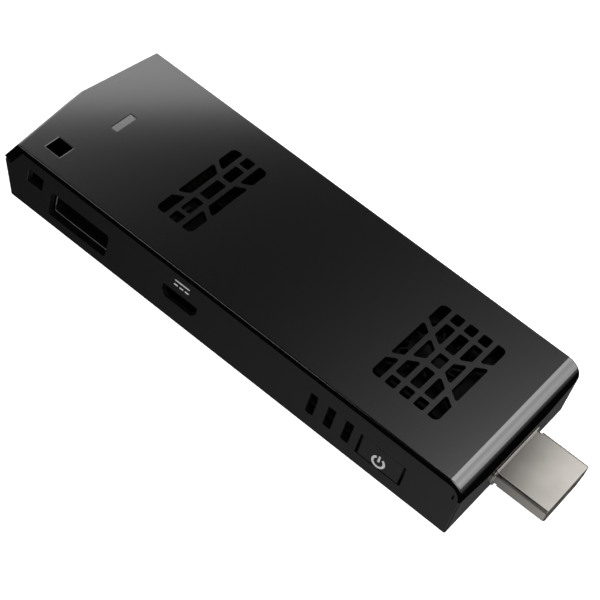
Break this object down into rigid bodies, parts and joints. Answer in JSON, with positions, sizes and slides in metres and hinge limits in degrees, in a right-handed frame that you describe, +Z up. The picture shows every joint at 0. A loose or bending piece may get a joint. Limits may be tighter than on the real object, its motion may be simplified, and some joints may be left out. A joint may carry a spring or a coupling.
{
  "type": "hdmi stick computer",
  "caption": "Palm-size stick computer with a full-size HDMI plug, a USB-A socket, a micro-USB power socket, vent slots, a side power button and a small blower fan inside.",
  "frame": {"origin": "middle of the underside of the box that holds the body and its plug", "axes": "+X along the stick towards the HDMI plug, +Z up out of the vented top, -Y out of the side with the USB sockets and the power button"},
  "size_m": [0.1145, 0.0376, 0.0125],
  "materials": {
    "cover_plastic": "satin",
    "base_plastic": "satin",
    "button_plastic": "satin",
    "window_plastic": "gloss",
    "plug_steel": "satin",
    "socket_steel": "satin",
    "black_sheet": "matte",
    "connector_plastic": "matte",
    "contact_gold": "satin",
    "board_laminate": "satin",
    "module_laminate": "satin",
    "chip_package": "matte",
    "crystal_can": "satin",
    "ferrite": "matte",
    "ceramic": "satin",
    "pad_silicone": "matte",
    "spreader_copper": "matte",
    "standoff_brass": "satin",
    "screw_steel": "satin",
    "fan_plastic": "satin",
    "stator_steel": "matte",
    "coil_wire": "gloss",
    "magnet_ferrite": "matte",
    "cable_jacket": "satin",
    "header_plastic": "satin",
    "antenna_film": "satin",
    "led_plastic": "gloss",
    "switch_plastic": "matte"
  },
  "bodies": {
    "computer": {"antenna_cable": "cable_jacket", "antenna_cable_plug": "contact_gold", "antenna_strip": "antenna_film", "base_shell": "base_plastic", "board_screws": "screw_steel", "capacitors": "ceramic", "card_socket_base": "connector_plastic", "card_socket_contacts": "contact_gold", "card_socket_shell": "socket_steel", "crystal": "crystal_can", "driver_chips": "chip_package", "fan_bearing": "standoff_brass", "fan_coils": "coil_wire", "fan_connector": "header_plastic", "fan_cover": "black_sheet", "fan_housing": "fan_plastic", "fan_lead": "cable_jacket", "fan_screws": "screw_steel", "fan_stator": "stator_steel", "hdmi_collar": "plug_steel", "hdmi_contacts": "contact_gold", "hdmi_insulator": "connector_plastic", "hdmi_plug_shell": "plug_steel", "heat_sink_fins": "spreader_copper", "heat_spreader": "spreader_copper", "inductors": "ferrite", "light_pipe": "window_plastic", "main_board": "board_laminate", "memory_chips": "chip_package", "micro_usb_contacts": "contact_gold", "micro_usb_shell": "black_sheet", "micro_usb_tongue": "connector_plastic", "power_chip": "chip_package", "processor": "chip_package", "spreader_screws": "screw_steel", "spreader_standoffs": "standoff_brass", "status_led": "led_plastic", "storage_chip": "chip_package", "switch_body": "switch_plastic", "thermal_pad": "pad_silicone", "top_cover": "cover_plastic", "usb_socket_contacts": "contact_gold", "usb_socket_shell": "socket_steel", "usb_socket_tongue": "connector_plastic", "wifi_board": "module_laminate", "wifi_shield_can": "black_sheet"},
    "fan_rotor": {"fan_impeller": "fan_plastic", "fan_magnet": "magnet_ferrite", "fan_shaft": "screw_steel"},
    "button": {"power_button": "button_plastic"},
    "plunger": {"switch_plunger": "header_plastic"}
  },
  "joints": [
    {"name": "power_button_press", "type": "slide", "parent": "computer", "child": "button", "axis": [0, 1, 0], "range_m": [0, 0.0003], "stiffness_N_per_m": 2000},
    {"name": "plunger_travel", "type": "slide", "parent": "computer", "child": "plunger", "axis": [0, 1, 0], "range_m": [0, 0.0003]},
    {"name": "fan_spin", "type": "hinge", "parent": "computer", "child": "fan_rotor", "pos_m": [0.02495, 0.003, 0.00788], "axis": [0, 0, 1], "continuous": true}
  ],
  "couplings": [
    {"joint": "plunger_travel", "follows": "power_button_press", "ratio": 1}
  ]
}
